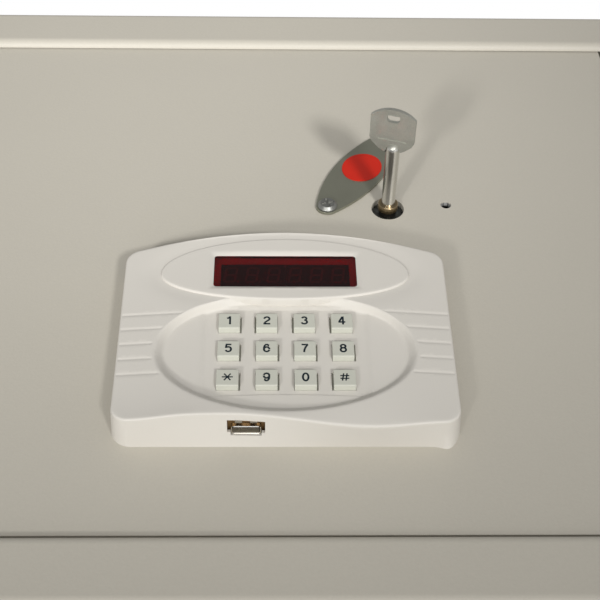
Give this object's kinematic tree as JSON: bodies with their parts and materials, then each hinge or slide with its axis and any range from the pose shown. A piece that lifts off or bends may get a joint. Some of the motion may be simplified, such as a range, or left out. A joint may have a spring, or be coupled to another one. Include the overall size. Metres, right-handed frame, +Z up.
{
  "type": "laptop safe",
  "caption": "Top-opening steel laptop safe with an inset hinged lid, moulded keypad with display, key lock, swinging cover plate and motor-driven bolts.",
  "frame": {"origin": "middle of the body's underside", "axes": "+X along the width, -Y towards the front edge where the bolts lock, +Z up through the lid"},
  "size_m": [0.45, 0.412, 0.2083],
  "materials": {
    "shell_paint": "fine orange-peel powder coat, beige",
    "inner_paint": "powder coat, beige grey",
    "felt": "needle felt",
    "zinc_steel": "zinc plated",
    "bright_steel": "bright nickel",
    "plate_steel": "satin nickel",
    "key_nickel": "nickel plated, lightly worn",
    "brass": "machined",
    "lock_black": "black zinc die casting",
    "housing_plastic": "satin moulded ABS, warm white",
    "black_plastic": "moulded, matt",
    "window_red": "clear red acrylic",
    "board_green": "solder mask",
    "rubber": "silicone",
    "usb_metal": "nickel plated stamping",
    "white_plastic": "moulded",
    "motor_grey": "zinc casting",
    "standoff_brass": "machined",
    "ribbon_grey": "flat cable",
    "cell_wrap": "plain wrap",
    "keycap_plastic": "satin moulded ABS with printed digits"
  },
  "bodies": {
    "body": {"body_shell": "shell_paint", "base_plate": "inner_paint", "floor_lining": "felt", "strike_plate": "inner_paint", "lid_ledges": "inner_paint", "hinge_brackets": "zinc_steel", "hinge_pins": "bright_steel"},
    "lid": {"lid_plate": "shell_paint", "hinge_lugs": "zinc_steel", "keypad_backplate": "black_plastic", "keypad_housing": "housing_plastic", "display_window": "window_red", "display_modules": "black_plastic", "keypad_board": "board_green", "key_mat": "rubber", "usb_shell": "usb_metal", "usb_insert": "white_plastic", "keypad_screws": "zinc_steel", "lock_barrel": "lock_black", "lock_nuts": "zinc_steel", "cover_rivet": "bright_steel", "cover_bush": "zinc_steel", "bolt_bracket": "zinc_steel", "guide_posts": "zinc_steel", "guide_nuts": "zinc_steel", "gear_motor": "motor_grey", "motor_bracket": "zinc_steel", "control_board": "board_green", "board_standoffs": "standoff_brass", "ribbon_cable": "ribbon_grey", "battery_tray": "black_plastic", "batteries": "cell_wrap", "battery_door": "black_plastic", "mechanism_cover": "inner_paint", "cover_screws": "zinc_steel"},
    "carriage": {"bolt_carriage": "zinc_steel", "live_bolts": "bright_steel", "bolt_nuts": "zinc_steel"},
    "lock_core": {"lock_plug": "lock_black", "lock_cam": "zinc_steel", "cam_screw": "zinc_steel"},
    "crank": {"motor_crank": "zinc_steel"},
    "key": {"key": "key_nickel", "key_barrel": "brass"},
    "cover": {"cover_plate": "plate_steel"},
    "button_1": {"button_1": "keycap_plastic"},
    "button_2": {"button_2": "keycap_plastic"},
    "button_3": {"button_3": "keycap_plastic"},
    "button_4": {"button_4": "keycap_plastic"},
    "button_5": {"button_5": "keycap_plastic"},
    "button_6": {"button_6": "keycap_plastic"},
    "button_7": {"button_7": "keycap_plastic"},
    "button_8": {"button_8": "keycap_plastic"},
    "button_star": {"button_star": "keycap_plastic"},
    "button_9": {"button_9": "keycap_plastic"},
    "button_0": {"button_0": "keycap_plastic"},
    "button_hash": {"button_hash": "keycap_plastic"}
  },
  "joints": [
    {"name": "lid_hinge", "type": "hinge", "parent": "body", "child": "lid", "pos_m": [0, 0.1567, 0.1315], "axis": [-1, 0, 0], "range_deg": [0, 96]},
    {"name": "bolt_throw", "type": "slide", "parent": "lid", "child": "carriage", "axis": [0, -1, 0], "range_m": [0, 0.017]},
    {"name": "key_turn", "type": "hinge", "parent": "lid", "child": "lock_core", "pos_m": [0.0535, 0.0286, 0.1405], "axis": [0, 0, 1], "range_deg": [-90.5, 0.5]},
    {"name": "crank_turn", "type": "hinge", "parent": "lid", "child": "crank", "pos_m": [0.0535, -0.0614, 0.12], "axis": [0, 0, 1], "range_deg": [-90.5, 0.5]},
    {"name": "key_pull", "type": "slide", "parent": "lock_core", "child": "key", "axis": [0, 0, 1], "range_m": [0, 0.012]},
    {"name": "cover_swing", "type": "hinge", "parent": "lid", "child": "cover", "pos_m": [0.0223, 0.029, 0.1455], "axis": [0, 0, 1], "range_deg": [-22, 140]},
    {"name": "press_1", "type": "slide", "parent": "lid", "child": "button_1", "axis": [0, 0, -1], "range_m": [0, 0.001], "stiffness_N_per_m": 500},
    {"name": "press_2", "type": "slide", "parent": "lid", "child": "button_2", "axis": [0, 0, -1], "range_m": [0, 0.001], "stiffness_N_per_m": 500},
    {"name": "press_3", "type": "slide", "parent": "lid", "child": "button_3", "axis": [0, 0, -1], "range_m": [0, 0.001], "stiffness_N_per_m": 500},
    {"name": "press_4", "type": "slide", "parent": "lid", "child": "button_4", "axis": [0, 0, -1], "range_m": [0, 0.001], "stiffness_N_per_m": 500},
    {"name": "press_5", "type": "slide", "parent": "lid", "child": "button_5", "axis": [0, 0, -1], "range_m": [0, 0.001], "stiffness_N_per_m": 500},
    {"name": "press_6", "type": "slide", "parent": "lid", "child": "button_6", "axis": [0, 0, -1], "range_m": [0, 0.001], "stiffness_N_per_m": 500},
    {"name": "press_7", "type": "slide", "parent": "lid", "child": "button_7", "axis": [0, 0, -1], "range_m": [0, 0.001], "stiffness_N_per_m": 500},
    {"name": "press_8", "type": "slide", "parent": "lid", "child": "button_8", "axis": [0, 0, -1], "range_m": [0, 0.001], "stiffness_N_per_m": 500},
    {"name": "press_star", "type": "slide", "parent": "lid", "child": "button_star", "axis": [0, 0, -1], "range_m": [0, 0.001], "stiffness_N_per_m": 500},
    {"name": "press_9", "type": "slide", "parent": "lid", "child": "button_9", "axis": [0, 0, -1], "range_m": [0, 0.001], "stiffness_N_per_m": 500},
    {"name": "press_0", "type": "slide", "parent": "lid", "child": "button_0", "axis": [0, 0, -1], "range_m": [0, 0.001], "stiffness_N_per_m": 500},
    {"name": "press_hash", "type": "slide", "parent": "lid", "child": "button_hash", "axis": [0, 0, -1], "range_m": [0, 0.001], "stiffness_N_per_m": 500}
  ],
  "couplings": [
    {"joint": "key_turn", "follows": "bolt_throw", "rad_per_m": -92.39},
    {"joint": "crank_turn", "follows": "bolt_throw", "rad_per_m": -92.39}
  ]
}
